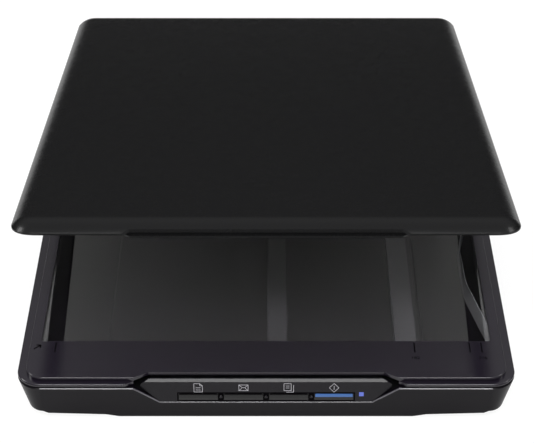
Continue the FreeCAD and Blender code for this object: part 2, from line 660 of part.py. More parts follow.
def carriage_frame():
    """Tray that carries the sensor, the motor and the gears along the rails."""
    x = (-CARRIAGE_HALF, CARRIAGE_HALF)
    y = (CARRIAGE_FRONT, CARRIAGE_REAR)
    floor = CARRIAGE_FLOOR + CARRIAGE_WALL
    body = block(x, y, (CARRIAGE_FLOOR, CARRIAGE_WALL_TOP))
    room = block((x[0] + CARRIAGE_WALL, x[1] - CARRIAGE_WALL), (y[0] + CARRIAGE_WALL, y[1] - CARRIAGE_WALL),
                 (floor, CARRIAGE_WALL_TOP + 1))
    shoe_gap = 0.3
    cheek = 1.4
    outer = (SLIDE_X[0] - shoe_gap - cheek, SLIDE_X[1] + shoe_gap + cheek)
    shoe = block(outer, y, (TROUGH_Z + 1.5, CARRIAGE_FLOOR))
    over_rail = block((SLIDE_X[0] - shoe_gap, SLIDE_X[1] + shoe_gap), (y[0] - 1, y[1] + 1),
                      (TROUGH_Z, SLIDE_TOP + shoe_gap))
    bosses = [rod(bx, by, (MOTOR_Z[1], CARRIAGE_FLOOR), 2.3) for bx, by in MOTOR_EARS]
    arm_end = RIBBON_END_X - RIBBON_THICK / 2
    ribbon_arm = block((CARRIAGE_HALF - 1, arm_end), (y[1] - 9, y[1] - 1), (RIBBON_Z[0] + 1, RIBBON_Z[1] - 1))
    solid = joined(body.cut(room), shoe.cut(over_rail), ribbon_arm, *bosses)
    holes = [rod(GEAR_X, GEAR_Y, (CARRIAGE_FLOOR - 1, floor + 1), AXLE)]
    holes += [rod(bx, by, (MOTOR_Z[1] - 1, CARRIAGE_FLOOR + 0.8), 0.8) for bx, by in MOTOR_EARS]
    return solid.cut(holes)


def sensor_housing():
    body = block((-SENSOR_HALF, SENSOR_HALF), SENSOR_Y, SENSOR_Z)
    glass = block((-SENSOR_INNER, SENSOR_INNER), (GUIDE_Y[0] - 2, LENS_Y[1] + 1.5), (SENSOR_GLASS_Z, SENSOR_Z[1] + 1))
    lens = block((-SENSOR_INNER, SENSOR_INNER), LENS_Y, (SENSOR_Z[0], SENSOR_GLASS_Z))
    guide = block((-SENSOR_INNER, SENSOR_INNER), GUIDE_Y, (GUIDE_Z, SENSOR_GLASS_Z))
    board = block((-SENSOR_INNER, SENSOR_INNER), (SENSOR_Y[0] + 1, SENSOR_Y[1] - 1), (SENSOR_Z[0] - 1, SENSOR_Z[0] + 1.2))
    return body.cut([glass, lens, guide, board])


def sensor_glass():
    return block((-SENSOR_INNER, SENSOR_INNER), (GUIDE_Y[0] - 2, LENS_Y[1] + 1.5), (SENSOR_GLASS_Z, SENSOR_Z[1]))


def rod_lens():
    return block((-SENSOR_INNER, SENSOR_INNER), LENS_Y, (SENSOR_Z[0] + 2.4, SENSOR_GLASS_Z - 0.2))


def light_guide():
    low = GUIDE_Z
    high = SENSOR_GLASS_Z
    front, rear = GUIDE_Y
    corners = [(front, low), (rear - 1.5, low), (rear, low + 1.5), (rear, high), (front, high)]
    return prism(corners, "yz", -SENSOR_INNER, SENSOR_INNER)


def sensor_board():
    return block((-SENSOR_INNER, SENSOR_INNER), (SENSOR_Y[0] + 1, SENSOR_Y[1] - 1), (SENSOR_Z[0], SENSOR_Z[0] + 1.2))


def glide_pads():
    """Slippery pads on the sensor's corners that run under the glass."""
    pads = []
    for x in (-SENSOR_HALF + 2.2, SENSOR_HALF - 2.2):
        for y in (SENSOR_Y[0] + 2.5, SENSOR_Y[1] - 2.5):
            pads.append(block((x - 1.5, x + 1.5), (y - 1.5, y + 1.5), (SENSOR_Z[1], GLASS_Z - 0.1)))
    return Part.makeCompound(pads)


def lift_springs():
    """Two bowed leaf springs that press the sensor up to the glass."""
    floor = CARRIAGE_FLOOR + CARRIAGE_WALL
    rise = SENSOR_Z[0] - floor - SPRING_THICK
    lower = [(-12, floor), (-9, floor), (-3, floor + rise), (3, floor + rise), (9, floor), (12, floor)]
    upper = [(x, z + SPRING_THICK) for x, z in reversed(lower)]
    strip = prism(lower + upper, "xz", GEAR_Y - 3, GEAR_Y + 3)
    return Part.makeCompound([strip.translated(Vector(x, 0, 0)) for x in (-85, 85)])


def ribbon(points, z):
    """Flat cable on edge along a plan route of straight runs and arcs."""
    path = outline(points, "xy", (z[0] + z[1]) / 2, closed=False)
    start = Vector(points[0][0], points[0][1], 0)
    heading = (Vector(points[1][0], points[1][1], 0) - start).normalize()
    across = Vector(-heading.y, heading.x, 0) * (RIBBON_THICK / 2)
    low = start + Vector(0, 0, z[0])
    rise = Vector(0, 0, z[1] - z[0])
    corners = [low - across, low + across, low + across + rise, low - across + rise]
    profile = Part.makePolygon(corners + corners[:1])
    return path.makePipeShell([profile], True, False)


def ribbon_cable():
    """Free span of the ribbon, from the carriage's arm to the first clip."""
    route = [(RIBBON_END_X, CARRIAGE_REAR - 8), (RIBBON_END_X, -136, 60), (107.6, -94, 50),
             (107.0, -60, 50), (RIBBON_WALL_X, -8, 60), (RIBBON_WALL_X, 29)]
    return ribbon(route, RIBBON_Z)


def ribbon_tail():
    """Held stretch of the ribbon, along the side wall to the main board."""
    route = [(RIBBON_WALL_X, 29.2), (RIBBON_WALL_X, RIBBON_BACK_Y, 8), (BOARD_X[1] - 3, RIBBON_BACK_Y)]
    return ribbon(route, RIBBON_Z)


def main_board():
    board = block(BOARD_X, BOARD_Y, (BOARD_Z, BOARD_Z + BOARD_THICK))
    return board.cut([rod(x, y, (0, BOARD_Z + 3), SCREW) for x, y in BOARD_SCREWS])


def board_screws():
    screws = []
    for x, y in BOARD_SCREWS:
        head = rod(x, y, (BOARD_TOP, BOARD_TOP + 1.2), SCREW_HEAD)
        screws.append(joined(head, rod(x, y, (TROUGH_Z + 0.5, BOARD_TOP + 0.5), SCREW)))
    return Part.makeCompound(screws)


def board_components():
    """Chips, capacitors and the ribbon's connector on the main board."""
    top = BOARD_TOP
    front = BOARD_Y[0]
    chips = [block((-20, -6), (front + 2, front + 14), (top, top + 1.6)),
             block((5, 13), (front + 3, front + 11), (top, top + 1.2)),
             block((20, 26), (front + 9, front + 13), (top, top + 1.0))]
    cans = [rod(x, front + 4.5, (top, top + 5), 2.2) for x in (-32, 32, 38)]
    holder = block((BOARD_X[1] - 12, BOARD_X[1] - 3.2), (RIBBON_BACK_Y - 2, RIBBON_BACK_Y + 2),
                   (top, RIBBON_Z[1]))
    return Part.makeCompound(chips + cans + [holder])


def usb_socket():
    """Metal data socket on the main board's rear edge."""
    z = (BOARD_TOP, BOARD_TOP + 4.8)
    rear = REAR - lean(z[0]) - 0.6
    shell = block((SOCKET_X - 4.2, SOCKET_X + 4.2), (rear - 9, rear), z)
    room = block((SOCKET_X - 3.8, SOCKET_X + 3.8), (rear - 8, rear + 1), (z[0] + 0.4, z[1] - 0.4))
    tongue = block((SOCKET_X - 2.6, SOCKET_X + 2.6), (rear - 8.5, rear - 1.5), (z[0] + 1.8, z[0] + 3.0))
    return joined(shell.cut(room), tongue)


def rubber_feet():
    return Part.makeCompound([rod(x, y, (0, BELLY + 0.2), FOOT_RADIUS) for x, y in foot_places()])


def case_screws():
    screws = []
    for x, y, _ in CASE_SCREWS:
        head = rod(x, y, (BELLY - 0.6, BELLY + 0.8), SCREW_HEAD)
        screws.append(joined(head, rod(x, y, (BELLY, BOSS_FOOT + 7), SCREW)))
    screws += [mirrored(screw) for screw in screws]
    return Part.makeCompound(screws)


def lid_solid(inset, bottom, top):
    """Lid's outer shape, or its hollow when set in, with a softly crowned edge."""
    edge = LID_CORNER - inset
    crown = (edge - LID_CROWN + inset / 4, top, LID_CROWN_ROUND - inset)
    low = [(0, bottom), (edge - LID_UNDERCUT, bottom)]
    if inset:
        low.append((edge - LID_UNDERCUT, LID_BOTTOM + inset))
    section = low + [(edge, LID_WIDEST + inset / 4), (edge, LID_EDGE), crown, (0, top)]
    return slab(LID_HALF, (LID_FRONT, LID_REAR), LID_CORNER, section)


def hinge_opening(low, high):
    """Cutter around one hinge at the lid's rear edge."""
    half = POST_WIDE / 2 + SIDE_PLAY + EAR + SIDE_PLAY
    return block((POST_X - half, POST_X + half), (POST_FRONT - 3, LID_REAR + 1), (low, high))


def finger_lip():
    """Thin ledge below the lid's front edge."""
    top = LID_WIDEST - 0.4
    corners = [(-LIP_HALF, LID_FRONT + 4), (-LIP_HALF + LIP_SLANT, LID_FRONT - 0.3, 0.5),
               (LIP_HALF - LIP_SLANT, LID_FRONT - 0.3, 0.5), (LIP_HALF, LID_FRONT + 4)]
    return prism(corners, "xy", top - 1.0, top)


def lid_shell():
    outer = lid_solid(0, LID_BOTTOM, LID_TOP)
    hollow = lid_solid(LID_SKIN, LID_BOTTOM - 1, LID_TOP - LID_SKIN)
    step = prism([(-LIP_HALF, LID_FRONT - 1), (LIP_HALF, LID_FRONT - 1), (LIP_HALF, LID_FRONT),
                  (LIP_HALF - LIP_SLANT, LID_FRONT + LIP_STEP), (-LIP_HALF + LIP_SLANT, LID_FRONT + LIP_STEP),
                  (-LIP_HALF, LID_FRONT)], "xy", LID_WIDEST - 0.4, LID_TOP)
    shell = outer.cut([hollow, step])
    bosses = [rod(x, y, (PANEL_Z + PANEL_SKIN, LID_TOP - LID_SKIN + 0.5), 3.0) for x, y in LID_SCREWS]
    bosses += [mirrored(boss) for boss in bosses]
    shell = joined(shell, finger_lip(), *bosses)
    opening = hinge_opening(LID_BOTTOM - 1, HINGE_Z + KNUCKLE + 0.8)
    holes = [rod(x, y, (PANEL_Z, LID_TOP - LID_SKIN - 1), SCREW) for x, y in LID_SCREWS]
    holes += [mirrored(hole) for hole in holes]
    return at_rest(shell.cut([opening, mirrored(opening)] + holes))


def lid_inner_panel():
    """Flat panel that closes the lid's underside."""
    inset = LID_SKIN + LID_UNDERCUT + FIT
    x = LID_HALF - inset
    corners = [(-x, LID_FRONT + inset), (x, LID_FRONT + inset), (x, LID_REAR - inset), (-x, LID_REAR - inset)]
    panel = prism(corners, "xy", PANEL_Z, PANEL_Z + PANEL_SKIN)
    cut = hinge_opening(PANEL_Z - 1, PANEL_Z + PANEL_SKIN + 1)
    holes = [rod(x, y, (PANEL_Z - 1, PANEL_Z + PANEL_SKIN + 1), SCREW) for x, y in LID_SCREWS]
    holes += [rod(x, y, (PANEL_Z - 1, PANEL_Z + HEAD_SINK), SCREW_HEAD) for x, y in LID_SCREWS]
    holes += [mirrored(hole) for hole in holes]
    return at_rest(panel.cut([cut, mirrored(cut)] + holes))


def mat_block(z):
    """Box over the glass opening, clear of the bezel."""
    x = OPENING_HALF - MAT_MARGIN
    return block((-x, x), (OPENING_FRONT + MAT_MARGIN, OPENING_REAR - MAT_MARGIN), z)


def white_mat():
    return at_rest(mat_block((MAT_Z, MAT_Z + MAT_THICK)))


def foam_pad():
    return at_rest(mat_block((MAT_Z + MAT_THICK, PANEL_Z)))


def lid_screws():
    screws = []
    for x, y in LID_SCREWS:
        head = rod(x, y, (PANEL_Z, PANEL_Z + HEAD_SINK), SCREW_HEAD)
        screws.append(joined(head, rod(x, y, (PANEL_Z, LID_TOP - LID_SKIN - 1), SCREW)))
    screws += [mirrored(screw) for screw in screws]
    return at_rest(Part.makeCompound(screws))


def lid_arm():
    """Bracket inside the lid with an ear on each side of one hinge post."""
    plate_z = (LID_TOP - LID_SKIN - 1.4, LID_TOP - LID_SKIN)
    inner = POST_WIDE / 2 + SIDE_PLAY
    outer = inner + EAR
    front = POST_FRONT - BRACKET_LONG - 2
    plate = block((POST_X - outer, POST_X + outer), (front, front + BRACKET_LONG), plate_z)
    pieces = [plate]
    for low in (POST_X - outer, POST_X + inner):
        span = (low, low + EAR)
        web = [(POST_FRONT - 10, plate_z[1]), (POST_FRONT - 10, plate_z[0]), (HINGE_Y - 2.0, HINGE_Z - 1.0),
               (HINGE_Y + 0.8, HINGE_Z + 2.1), (LID_REAR - 3.6, HINGE_Z + 3.0), (POST_FRONT + 1, plate_z[0] - 0.2),
               (POST_FRONT - 1, plate_z[1])]
        pieces.append(prism(web, "yz", *span))
        pieces.append(cross_rod(span, HINGE_Y, HINGE_Z, KNUCKLE))
    bore = cross_rod((POST_X - outer - 1, POST_X + outer + 1), HINGE_Y, HINGE_Z, PIN + RUNNING)
    return joined(*pieces).cut(bore)


def hinge_post():
    """Post that slides up in the case and carries the hinge pin at its top."""
    x = (POST_X - POST_WIDE / 2, POST_X + POST_WIDE / 2)
    side = [(POST_FRONT, POST_FOOT), (POST_BACK, POST_FOOT), (POST_BACK, RIM_TOP + 0.2),
            (HINGE_Y - 0.8, HINGE_Z - 2.1), (HINGE_Y, HINGE_Z + KNUCKLE), (POST_FRONT + 1.5, HINGE_Z + 1.6),
            (POST_FRONT, HINGE_Z)]
    solid = joined(prism(side, "yz", *x), cross_rod(x, HINGE_Y, HINGE_Z, KNUCKLE))
    bore = cross_rod((x[0] - 1, x[1] + 1), HINGE_Y, HINGE_Z, PIN)
    return solid.cut(bore)


def hinge_pin():
    half = POST_WIDE / 2 + SIDE_PLAY + EAR
    return cross_rod((POST_X - half, POST_X + half), HINGE_Y, HINGE_Z, PIN)


PARTS = {
    "lower_case": lower_case,
    "upper_frame": upper_frame,
    "document_glass": document_glass,
    "glass_tape": glass_tape,
    "calibration_strip": calibration_strip,
    "button_panel": button_panel,
    "status_light": status_light,
    "button_board": button_board,
    "tact_switches": tact_switches,
    "button_document": lambda: button(BUTTON_X[0]),
    "button_mail": lambda: button(BUTTON_X[1]),
    "button_copy": lambda: button(BUTTON_X[2]),
    "button_start": lambda: button(BUTTON_X[3]).cut(start_stripe()),
    "start_stripe": start_stripe,
    "rack_rail": rack_rail,
    "slide_rail": slide_rail,
    "main_board": main_board,
    "board_components": board_components,
    "board_screws": board_screws,
    "usb_socket": usb_socket,
    "ribbon_cable": ribbon_cable,
    "ribbon_tail": ribbon_tail,
    "rubber_feet": rubber_feet,
    "case_screws": case_screws,
    "carriage_frame": carriage_frame,
    "sensor_housing": sensor_housing,
    "sensor_glass": sensor_glass,
    "rod_lens": rod_lens,
    "light_guide": light_guide,
    "sensor_board": sensor_board,
    "glide_pads": glide_pads,
    "lift_springs": lift_springs,
    "drive_motor": drive_motor,
    "motor_screws": motor_screws,
    "gear_axle": gear_axle,
    "motor_shaft": motor_shaft,
    "motor_pinion": motor_pinion,
    "reduction_gear": reduction_gear,
    "lid_shell": lid_shell,
    "lid_inner_panel": lid_inner_panel,
    "foam_pad": foam_pad,
    "white_mat": white_mat,
    "lid_screws": lid_screws,
    "lid_arm_left": lambda: at_rest(mirrored(lid_arm())),
    "lid_arm_right": lambda: at_rest(lid_arm()),
    "hinge_post_left": lambda: mirrored(hinge_post()),
    "hinge_post_right": hinge_post,
    "hinge_pins": lambda: both(hinge_pin()),
}

os.makedirs("parts", exist_ok=True)
for name, make in PARTS.items():
    shape = make()
    if not shape.isValid():
        print("not valid:", name)
    shape.exportStep("parts/" + name + ".step")
    box = shape.optimalBoundingBox()
    print(f"{name:20s} solids {len(shape.Solids)} volume {shape.Volume:10.1f}"
          f" x {box.XMin:8.2f} {box.XMax:8.2f} y {box.YMin:8.2f} {box.YMax:8.2f} z {box.ZMin:6.2f} {box.ZMax:6.2f}")
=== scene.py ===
import math

import bmesh
import bpy
from mathutils import Matrix, Vector


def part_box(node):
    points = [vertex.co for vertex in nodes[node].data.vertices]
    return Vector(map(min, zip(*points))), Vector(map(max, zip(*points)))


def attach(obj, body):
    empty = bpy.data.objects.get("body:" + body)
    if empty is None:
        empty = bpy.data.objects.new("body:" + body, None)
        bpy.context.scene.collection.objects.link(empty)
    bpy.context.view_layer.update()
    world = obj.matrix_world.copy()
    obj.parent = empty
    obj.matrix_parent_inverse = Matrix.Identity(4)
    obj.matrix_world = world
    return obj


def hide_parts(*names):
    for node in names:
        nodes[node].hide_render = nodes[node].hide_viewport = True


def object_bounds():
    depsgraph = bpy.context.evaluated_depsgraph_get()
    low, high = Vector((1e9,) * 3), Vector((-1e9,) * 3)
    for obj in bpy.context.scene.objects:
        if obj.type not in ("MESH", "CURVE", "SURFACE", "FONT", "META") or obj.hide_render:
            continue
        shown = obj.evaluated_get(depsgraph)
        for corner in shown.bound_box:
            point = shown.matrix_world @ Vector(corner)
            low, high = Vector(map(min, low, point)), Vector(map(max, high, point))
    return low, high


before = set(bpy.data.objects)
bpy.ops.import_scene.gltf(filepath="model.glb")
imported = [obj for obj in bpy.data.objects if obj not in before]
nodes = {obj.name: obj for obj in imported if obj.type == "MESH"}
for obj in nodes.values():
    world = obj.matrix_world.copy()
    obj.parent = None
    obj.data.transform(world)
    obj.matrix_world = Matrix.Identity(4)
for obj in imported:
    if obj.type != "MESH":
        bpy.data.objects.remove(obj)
cad_low, cad_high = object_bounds()


# Camera. It stands in front of the scanner at arm's length, a little under
# forty degrees above the desk, with a long lens so that the sides stay calm.
CAMERA_AT = (0.00044, -0.81667, 0.57322)
CAMERA_TILT = math.radians(90 - 35.2)
CAMERA_LENS = 113.5
CAMERA_SENSOR = 36

camera_data = bpy.data.cameras.new("camera")
camera_data.lens = CAMERA_LENS
camera_data.sensor_width = CAMERA_SENSOR
camera = bpy.data.objects.new("camera", camera_data)
camera.location = CAMERA_AT
camera.rotation_euler = (CAMERA_TILT, 0, 0)
bpy.context.scene.collection.objects.link(camera)
bpy.context.scene.camera = camera


# Light and floor. A pale table under one broad lamp over the front, a weaker
# one on each side, and a sky that is bright overhead and dim near the horizon.
FLOOR_HALF = 0.6
FLOOR_COLOUR = (0.75, 0.75, 0.75, 1.0)
FLOOR_ROUGH = 0.9
FLOOR_GLOW = 1.10
GLOW_SEEN = 0.82
GLOW_MIRRORED = 0.15
SKY_LOW = 0.02
SKY_HIGH = 0.65
SKY_CLIMB = (0.05, 0.9)
PLAIN_WHITE = (1, 1, 1, 1)
# The place, size and power of each lamp, in metres and watts.
LAMPS = {
    "front_lamp": ((0.0, -1.25, 1.65), (1.3, 0.35), 27.0),
    "left_lamp": ((-1.5, 0.1, 1.3), (0.5, 0.5), 9.0),
    "right_lamp": ((1.5, 0.0, 1.5), (0.5, 0.5), 6.0),
}


class Sock:
    """A shader value; arithmetic on it adds the Math nodes that work it out."""

    def __init__(self, finish, link):
        self.finish = finish
        self.link = link

    def maths(self, operation, *terms):
        return self.finish.node("ShaderNodeMath", {"operation": operation}, dict(enumerate(terms)))

    def __add__(self, other):
        return self.maths("ADD", self, other)

    def __sub__(self, other):
        return self.maths("SUBTRACT", self, other)

    def __rsub__(self, other):
        return self.maths("SUBTRACT", other, self)

    def __mul__(self, other):
        return self.maths("MULTIPLY", self, other)

    def __truediv__(self, other):
        return self.maths("DIVIDE", self, other)

    def __mod__(self, other):
        return self.maths("FLOORED_MODULO", self, other)

    def __lt__(self, other):
        return self.maths("LESS_THAN", self, other)

    __radd__ = __add__
    __rmul__ = __mul__


class Finish:
    """A shader tree built by name, on the piece's own coordinates."""

    def __init__(self, name, owner=None):
        self.owner = owner or bpy.data.materials.new(name)
        self.owner.use_nodes = True
        self.tree = self.owner.node_tree

    def node(self, kind, settings=None, values=None, out=0):
        """Adds a node, sets it up, feeds its sockets and gives one of its outputs."""
        added = self.tree.nodes.new(kind)
        for name, value in (settings or {}).items():
            setattr(added, name, value)
        self.feed(added, values or {})
        return Sock(self, added.outputs[out])

    def feed(self, target, values):
        """Links sockets to a node's inputs, and sets plain values on the others."""
        for name, value in values.items():
            if isinstance(value, Sock):
                self.tree.links.new(value.link, target.inputs[name])
            else:
                target.inputs[name].default_value = value

    def surface(self, **values):
        """Sets the sockets of the main shader, by their names with _ for a space."""
        self.feed(self.tree.nodes["Principled BSDF"],
                  {name.replace("_", " "): value for name, value in values.items()})

    def coordinates(self):
        """The piece's own coordinates, in metres."""
        return self.node("ShaderNodeTexCoord", out="Object")

    def noise(self, size, detail=2.0, stretch=(1, 1, 1)):
        """Noise from 0 to 1 whose patches are about one size, in metres."""
        place = self.node("ShaderNodeMapping", None,
                          {"Vector": self.coordinates(), "Scale": stretch})
        return self.node("ShaderNodeTexNoise", None,
                         {"Vector": place, "Scale": 1 / size, "Detail": detail}, "Fac")

    def axis(self, letter):
        """One of the piece's own coordinates, in metres."""
        return self.node("ShaderNodeSeparateXYZ", None, {"Vector": self.coordinates()}, letter)

    def mixed(self, share, first, second):
        """A colour between two others, by a share from 0 to 1."""
        return self.node("ShaderNodeMix", {"data_type": "RGBA"},
                         {0: share, 6: first, 7: second}, 2)

    def bump(self, height, depth, strength=1.0):
        """A surface direction from a height of 0 to 1 and its real depth in metres."""
        return self.node("ShaderNodeBump", None,
                         {"Strength": strength, "Distance": depth, "Height": height}, "Normal")


world = bpy.data.worlds.new("studio")
bpy.context.scene.world = world
sky = Finish("studio", world)
height = sky.node("ShaderNodeSeparateXYZ", None,
                  {"Vector": sky.node("ShaderNodeTexCoord", out="Generated")}, "Z")
climb = sky.node("ShaderNodeMapRange", {"interpolation_type": "SMOOTHSTEP"},
                 {"Value": height, "From Min": SKY_CLIMB[0], "From Max": SKY_CLIMB[1],
                  "To Min": SKY_LOW, "To Max": SKY_HIGH})
seen = sky.node("ShaderNodeLightPath", out="Is Camera Ray")
through = sky.node("ShaderNodeLightPath", out="Is Transmission Ray")
plain = sky.node("ShaderNodeMath", {"operation": "MAXIMUM"}, {0: seen, 1: through})
sky.feed(sky.tree.nodes["Background"],
         {"Color": PLAIN_WHITE, "Strength": plain + (1 - plain) * climb})

for lamp_name, (at, size, power) in LAMPS.items():
    lamp_data = bpy.data.lights.new(lamp_name, "AREA")
    lamp_data.shape = "RECTANGLE"
    lamp_data.size, lamp_data.size_y = size
    lamp_data.energy = power
    lamp = bpy.data.objects.new(lamp_name, lamp_data)
    lamp.location = at
    lamp.rotation_euler = (-Vector(at)).to_track_quat("-Z", "Y").to_euler()
    bpy.context.scene.collection.objects.link(lamp)

bpy.context.scene.view_settings.view_transform = "Standard"

floor_form = bmesh.new()
bmesh.ops.create_grid(floor_form, x_segments=1, y_segments=1, size=FLOOR_HALF)
floor_mesh = bpy.data.meshes.new("floor")
floor_form.to_mesh(floor_mesh)
floor_form.free()
floor = bpy.data.objects.new("floor", floor_mesh)
bpy.context.scene.collection.objects.link(floor)
table_top = Finish("table_top")
table_top.surface(Base_Color=FLOOR_COLOUR, Roughness=FLOOR_ROUGH, Specular_IOR_Level=0.0)
ray = {name: table_top.node("ShaderNodeLightPath", out=name)
       for name in ("Is Camera Ray", "Is Glossy Ray", "Is Transmission Ray")}
mirrored = ray["Is Glossy Ray"] + ray["Is Transmission Ray"]
glow_share = ray["Is Camera Ray"] * GLOW_SEEN + mirrored * GLOW_MIRRORED
glow = table_top.node("ShaderNodeEmission", None, {"Color": PLAIN_WHITE, "Strength": FLOOR_GLOW})
blended = table_top.node("ShaderNodeMixShader", None, {0: glow_share})
matt = Sock(table_top, table_top.tree.nodes["Principled BSDF"].outputs[0])
table_top.feed(blended.link.node, {1: matt, 2: glow})
table_top.feed(table_top.tree.nodes["Material Output"], {"Surface": blended})
floor_mesh.materials.append(table_top.owner)


# Tray. The lower half of the housing is one black moulding with a fine spark
# grain, and leans in towards its foot. The whole scanner is built up from it.
CLOUD_SIZE = 0.06
SMEAR_SIZE = 0.011
SMEAR_DULLING = 0.02
SKIN_DULLING = 0.03


def tone(red, green, blue):
    """A linear colour from the 0 to 255 steps that colour charts use."""
    def linear(step):
        part = step / 255
        return part / 12.92 if part <= 0.04045 else ((part + 0.055) / 1.055) ** 2.4
    return (linear(red), linear(green), linear(blue), 1.0)


def lighter(colour, factor):
    """A colour made lighter, or darker by a factor under 1."""
    return tuple(channel * factor for channel in colour[:3]) + (1.0,)


def moulded(name, colour, rough, grain=0.0004, depth=0.000012, shine=0.5, mottle=0.10):
    """Moulded plastic: a fine grain, faint uneven colour and slightly duller patches."""
    plastic = Finish(name)
    cloud = plastic.noise(CLOUD_SIZE, 3.0)
    skin = plastic.noise(grain, 1.0)
    smear = plastic.noise(SMEAR_SIZE, 4.0)
    plastic.surface(
        Base_Color=plastic.mixed(cloud, lighter(colour, 1 - mottle), lighter(colour, 1 + mottle)),
        Roughness=rough + (smear - 0.5) * SMEAR_DULLING + (skin - 0.5) * SKIN_DULLING,
        Specular_IOR_Level=shine,
        Normal=plastic.bump(skin, depth, 0.5),
    )
    return plastic.owner


def dress(material, *names):
    """Gives CAD nodes their finish."""
    for node_name in names:
        for place in nodes[node_name].material_slots:
            place.material = material


TRAY_BLACK = tone(12, 9, 15)
dress(moulded("tray_plastic", TRAY_BLACK, 0.30, shine=0.12), "lower_case")


# Feet. Four round pads of soft black rubber are glued into shallow seats
# under the corners; each has a rounded edge and a ring groove in its face.
def turned(form, profile, centre, steps=40):
    """Spins a profile of (radius, height) pairs round an upright axis, in metres."""
    corners = [form.verts.new((centre[0] + r, centre[1], centre[2] + z)) for r, z in profile]
    edges = [form.edges.new(pair) for pair in zip(corners, corners[1:])]
    bmesh.ops.spin(form, geom=corners + edges, cent=centre, axis=(0, 0, 1),
                   angle=2 * math.pi, steps=steps, use_merge=True)
    bmesh.ops.remove_doubles(form, verts=form.verts, dist=1e-6)


def made(form, name, material, body, smooth=35):
    """Turns a finished bmesh into a piece that rides on a body."""
    bmesh.ops.recalc_face_normals(form, faces=form.faces)
    mesh = bpy.data.meshes.new(name)
    form.to_mesh(mesh)
    form.free()
    mesh.polygons.foreach_set("use_smooth", [True] * len(mesh.polygons))
    mesh.set_sharp_from_angle(angle=math.radians(smooth))
    mesh.materials.append(material)
    piece = bpy.data.objects.new(name, mesh)
    bpy.context.scene.collection.objects.link(piece)
    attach(piece, body)
    return piece


FOOT_RADIUS = 0.0059
FOOT_INSET = 0.006
# Half the foot's section: the share of the radius, and the height in metres.
FOOT_PROFILE = ((0, 0.0036), (1, 0.0036), (1, 0.0009), (0.94, 0.0003), (0.84, 0),
                (0.55, 0), (0.50, 0.0004), (0.36, 0.0004), (0.31, 0), (0, 0))
feet_low, feet_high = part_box("rubber_feet")
feet_form = bmesh.new()
for x in (feet_low.x + FOOT_INSET, feet_high.x - FOOT_INSET):
    for y in (feet_low.y + FOOT_INSET, feet_high.y - FOOT_INSET):
        turned(feet_form, [(part * FOOT_RADIUS, z) for part, z in FOOT_PROFILE], (x, y, 0.0))
rubber = moulded("foot_rubber", tone(38, 38, 39), 0.85, grain=0.0007, depth=0.00003,
                 shine=0.2, mottle=0.2)
feet = made(feet_form, "foot_pads", rubber, "base")
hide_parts("rubber_feet")


# Steel parts. Screws, springs, pins, the motor's can and the socket's shell
# are plated steel with fine drawing lines and a few duller patches.
DRAWN_LINE = 0.0016
DRAWN_DEPTH = 0.000008
DULL_PATCH = 0.006


def plated(name, colour, rough, along):
    """Plated steel with fine lines along one direction."""
    metal = Finish(name)
    lines = metal.noise(DRAWN_LINE, 2.0, along)
    patches = metal.noise(DULL_PATCH, 3.0)
    metal.surface(
        Base_Color=metal.mixed(patches, lighter(colour, 0.86), lighter(colour, 1.08)),
        Metallic=1.0,
        Roughness=rough + (lines - 0.5) * 0.16 + (patches - 0.5) * 0.10,
        Normal=metal.bump(lines, DRAWN_DEPTH, 0.4),
    )
    return metal.owner


STEEL = (0.56, 0.56, 0.57, 1.0)
steel_round = plated("steel_round", STEEL, 0.32, (1, 1, 0.12))
steel_long = plated("steel_long", STEEL, 0.28, (0.08, 1, 1))
dress(steel_round, "case_screws", "board_screws", "motor_screws", "lid_screws", "gear_axle",
      "motor_shaft")
dress(steel_long, "hinge_pins", "lift_springs", "usb_socket")
dress(plated("motor_can", (0.46, 0.46, 0.47, 1.0), 0.36, (1, 1, 0.05)), "drive_motor")


# Boards. The main board behind the glass, the button board and the sensor's
# board are glass-fibre sheets with green or black mask over lines of copper.
COPPER_PITCH = 0.0014
COPPER_SHARE = 0.42
COPPER_RUN = 0.019
RUN_SHARE = 0.62
COPPER_DEPTH = 0.00003


def circuit(name, across, along, bare, raised):
    """Solder mask that rises over straight copper lines."""
    mask = Finish(name)
    rows = mask.axis(across) / COPPER_PITCH % 1.0 < COPPER_SHARE
    runs = (mask.axis(along) / COPPER_RUN + mask.noise(0.013, 0.0) * 1.6) % 1.0 < RUN_SHARE
    copper = rows * runs
    mask.surface(
        Base_Color=mask.mixed(copper, bare, raised),
        Roughness=0.34 + mask.noise(0.004) * 0.08,
        Normal=mask.bump(copper, COPPER_DEPTH, 0.6),
    )
    return mask.owner


GREEN_MASK = ((0.012, 0.075, 0.032, 1), (0.028, 0.15, 0.06, 1))
BLACK_MASK = ((0.004, 0.004, 0.005, 1), (0.010, 0.010, 0.012, 1))
dress(circuit("main_mask", "Y", "X", *GREEN_MASK), "main_board")
dress(circuit("button_mask", "Z", "X", *BLACK_MASK), "button_board")
dress(circuit("sensor_mask", "Y", "X", *GREEN_MASK), "sensor_board")
dress(moulded("chip_epoxy", tone(34, 34, 36), 0.55, grain=0.0002), "board_components",
      "tact_switches")


# Rails. A toothed rack down the middle and a smooth rail on the right guide
# the scan carriage; both are grey acetal, polished by the carriage's shoes.
RUB_LINE = 0.0012
RUB_DEPTH = 0.00001


def rail_plastic(name, colour, worn_rough):
    """Acetal with fine rubbing lines from front to rear."""
    acetal = Finish(name)
    rub = acetal.noise(RUB_LINE, 2.0, (1, 0.02, 1))
    acetal.surface(
        Base_Color=acetal.mixed(rub, lighter(colour, 0.85), lighter(colour, 1.15)),
        Roughness=worn_rough + (rub - 0.5) * 0.2,
        Normal=acetal.bump(rub, RUB_DEPTH, 0.5),
    )
    return acetal.owner


dress(rail_plastic("rack_acetal", tone(50, 49, 52), 0.42), "rack_rail")
dress(rail_plastic("slide_acetal", tone(58, 57, 60), 0.34), "slide_rail")


